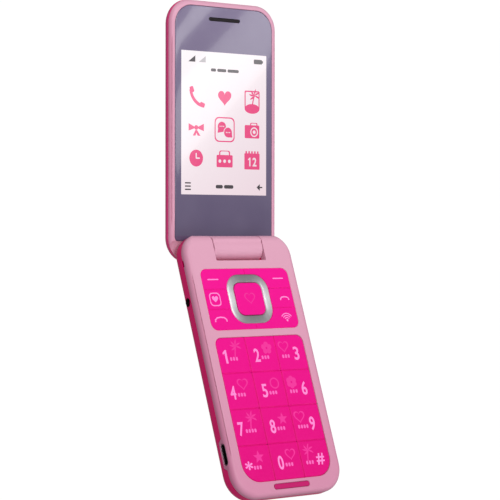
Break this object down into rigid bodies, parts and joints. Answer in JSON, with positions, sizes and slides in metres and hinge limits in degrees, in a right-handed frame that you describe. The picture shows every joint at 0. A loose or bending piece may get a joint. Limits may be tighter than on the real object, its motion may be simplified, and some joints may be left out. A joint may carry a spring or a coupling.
{
  "type": "toy cell phone",
  "caption": "Clamshell cell phone opened on its back: hinged lid with display, keypad half with press keys, navigation ring, sockets and slide-off battery cover.",
  "frame": {"origin": "middle of the flat back of the keypad half, on the battery cover", "axes": "+Z out of the keypad, +Y from the foot of the keypad towards the hinge and the open lid, +X to the right seen from the front"},
  "size_m": [0.0547, 0.1991, 0.0408],
  "materials": {
    "frame_pink": "satin moulded pale pink",
    "shell_magenta": "gloss moulded deep magenta",
    "key_pink": "smooth translucent hot pink",
    "bumper_rubber": "matt pink rubber",
    "front_glass": "polished grey-violet tinted",
    "rear_glass": "polished dark tinted",
    "display_panel": "lit display under clear glass",
    "nav_metal": "brushed, bright chamfers",
    "steel": "stamped and plated",
    "socket_steel": "plated socket shell",
    "dark_plastic": "matt black moulded",
    "circuit_board": "green solder mask",
    "flex_copper": "amber flexible circuit",
    "cell_wrap": "pale grey printed wrap, no lettering",
    "silicone": "translucent silicone",
    "lens": "coated camera lens",
    "diffuser": "milky diffuser"
  },
  "bodies": {
    "keypad_half": {"keypad_frame": "frame_pink", "rear_housing": "shell_magenta", "closing_bumper": "bumper_rubber", "main_circuit_board": "circuit_board", "dome_sheet": "steel", "keypad_mat": "silicone", "usb_socket": "socket_steel", "audio_jack": "dark_plastic", "battery": "cell_wrap", "battery_connector": "dark_plastic", "sim_socket": "steel", "loudspeaker": "dark_plastic", "microphone": "steel", "vibration_motor": "steel", "hinge_cam_pin": "steel", "hinge_bush": "dark_plastic", "base_screw_1": "steel", "base_screw_2": "steel", "base_screw_3": "steel", "base_screw_4": "steel"},
    "lid": {"lid_bezel": "frame_pink", "lid_outer_shell": "shell_magenta", "main_window": "front_glass", "main_display": "display_panel", "display_bracket": "steel", "lid_circuit_board": "circuit_board", "earpiece": "dark_plastic", "earpiece_grille": "steel", "outer_window": "rear_glass", "outer_display": "dark_plastic", "camera_module": "lens", "flash_lens": "diffuser", "lid_screw_left": "steel", "lid_screw_right": "steel", "hinge_cartridge": "steel", "hinge_cable": "flex_copper"},
    "key_1": {"key_1": "key_pink"},
    "key_2": {"key_2": "key_pink"},
    "key_3": {"key_3": "key_pink"},
    "key_4": {"key_4": "key_pink"},
    "key_5": {"key_5": "key_pink"},
    "key_6": {"key_6": "key_pink"},
    "key_7": {"key_7": "key_pink"},
    "key_8": {"key_8": "key_pink"},
    "key_9": {"key_9": "key_pink"},
    "key_star": {"key_star": "key_pink"},
    "key_0": {"key_0": "key_pink"},
    "key_hash": {"key_hash": "key_pink"},
    "softkey_left": {"softkey_left": "key_pink"},
    "softkey_right": {"softkey_right": "key_pink"},
    "shortcut_key": {"shortcut_key": "key_pink"},
    "end_key": {"end_key": "key_pink"},
    "call_key": {"call_key": "key_pink"},
    "sound_key": {"sound_key": "key_pink"},
    "nav_center_key": {"nav_center_key": "key_pink"},
    "nav_ring": {"nav_ring": "nav_metal"},
    "nav_gimbal_plate": {"nav_gimbal_plate": "steel"},
    "battery_cover": {"battery_cover": "shell_magenta"},
    "volume_rocker": {"volume_rocker": "shell_magenta"}
  },
  "joints": [
    {"name": "lid_hinge", "type": "hinge", "parent": "keypad_half", "child": "lid", "pos_m": [0, 0.0485, 0.00587], "axis": [1, 0, 0], "range_deg": [0, 159.65]},
    {"name": "key_1_press", "type": "slide", "parent": "keypad_half", "child": "key_1", "axis": [0, 0, -1], "range_m": [0, 0.0003], "stiffness_N_per_m": 1200, "springref_m": -0.0002},
    {"name": "key_2_press", "type": "slide", "parent": "keypad_half", "child": "key_2", "axis": [0, 0, -1], "range_m": [0, 0.0003], "stiffness_N_per_m": 1200, "springref_m": -0.0002},
    {"name": "key_3_press", "type": "slide", "parent": "keypad_half", "child": "key_3", "axis": [0, 0, -1], "range_m": [0, 0.0003], "stiffness_N_per_m": 1200, "springref_m": -0.0002},
    {"name": "key_4_press", "type": "slide", "parent": "keypad_half", "child": "key_4", "axis": [0, 0, -1], "range_m": [0, 0.0003], "stiffness_N_per_m": 1200, "springref_m": -0.0002},
    {"name": "key_5_press", "type": "slide", "parent": "keypad_half", "child": "key_5", "axis": [0, 0, -1], "range_m": [0, 0.0003], "stiffness_N_per_m": 1200, "springref_m": -0.0002},
    {"name": "key_6_press", "type": "slide", "parent": "keypad_half", "child": "key_6", "axis": [0, 0, -1], "range_m": [0, 0.0003], "stiffness_N_per_m": 1200, "springref_m": -0.0002},
    {"name": "key_7_press", "type": "slide", "parent": "keypad_half", "child": "key_7", "axis": [0, 0, -1], "range_m": [0, 0.0003], "stiffness_N_per_m": 1200, "springref_m": -0.0002},
    {"name": "key_8_press", "type": "slide", "parent": "keypad_half", "child": "key_8", "axis": [0, 0, -1], "range_m": [0, 0.0003], "stiffness_N_per_m": 1200, "springref_m": -0.0002},
    {"name": "key_9_press", "type": "slide", "parent": "keypad_half", "child": "key_9", "axis": [0, 0, -1], "range_m": [0, 0.0003], "stiffness_N_per_m": 1200, "springref_m": -0.0002},
    {"name": "key_star_press", "type": "slide", "parent": "keypad_half", "child": "key_star", "axis": [0, 0, -1], "range_m": [0, 0.0003], "stiffness_N_per_m": 1200, "springref_m": -0.0002},
    {"name": "key_0_press", "type": "slide", "parent": "keypad_half", "child": "key_0", "axis": [0, 0, -1], "range_m": [0, 0.0003], "stiffness_N_per_m": 1200, "springref_m": -0.0002},
    {"name": "key_hash_press", "type": "slide", "parent": "keypad_half", "child": "key_hash", "axis": [0, 0, -1], "range_m": [0, 0.0003], "stiffness_N_per_m": 1200, "springref_m": -0.0002},
    {"name": "softkey_left_press", "type": "slide", "parent": "keypad_half", "child": "softkey_left", "axis": [0, 0, -1], "range_m": [0, 0.0003], "stiffness_N_per_m": 1200, "springref_m": -0.0002},
    {"name": "softkey_right_press", "type": "slide", "parent": "keypad_half", "child": "softkey_right", "axis": [0, 0, -1], "range_m": [0, 0.0003], "stiffness_N_per_m": 1200, "springref_m": -0.0002},
    {"name": "shortcut_press", "type": "slide", "parent": "keypad_half", "child": "shortcut_key", "axis": [0, 0, -1], "range_m": [0, 0.0003], "stiffness_N_per_m": 1200, "springref_m": -0.0002},
    {"name": "end_press", "type": "slide", "parent": "keypad_half", "child": "end_key", "axis": [0, 0, -1], "range_m": [0, 0.0003], "stiffness_N_per_m": 1200, "springref_m": -0.0002},
    {"name": "call_press", "type": "slide", "parent": "keypad_half", "child": "call_key", "axis": [0, 0, -1], "range_m": [0, 0.0003], "stiffness_N_per_m": 1200, "springref_m": -0.0002},
    {"name": "sound_press", "type": "slide", "parent": "keypad_half", "child": "sound_key", "axis": [0, 0, -1], "range_m": [0, 0.0003], "stiffness_N_per_m": 1200, "springref_m": -0.0002},
    {"name": "nav_center_press", "type": "slide", "parent": "keypad_half", "child": "nav_center_key", "axis": [0, 0, -1], "range_m": [0, 0.0003], "stiffness_N_per_m": 1200, "springref_m": -0.0002},
    {"name": "nav_tilt_up_down", "type": "hinge", "parent": "keypad_half", "child": "nav_gimbal_plate", "pos_m": [0, 0.02605, 0.009], "axis": [1, 0, 0], "range_deg": [-0.8, 0.8], "stiffness_Nm_per_rad": 0.5},
    {"name": "nav_tilt_left_right", "type": "hinge", "parent": "nav_gimbal_plate", "child": "nav_ring", "pos_m": [0, 0.02605, 0.009], "axis": [0, 1, 0], "range_deg": [-0.8, 0.8], "stiffness_Nm_per_rad": 0.5},
    {"name": "volume_rock", "type": "hinge", "parent": "keypad_half", "child": "volume_rocker", "pos_m": [0.0265, 0.019, 0.00587], "axis": [0, 0, 1], "range_deg": [-2, 2], "stiffness_Nm_per_rad": 0.4},
    {"name": "battery_cover_slide", "type": "slide", "parent": "keypad_half", "child": "battery_cover", "axis": [0, -1, 0], "range_m": [0, 0.008]}
  ]
}
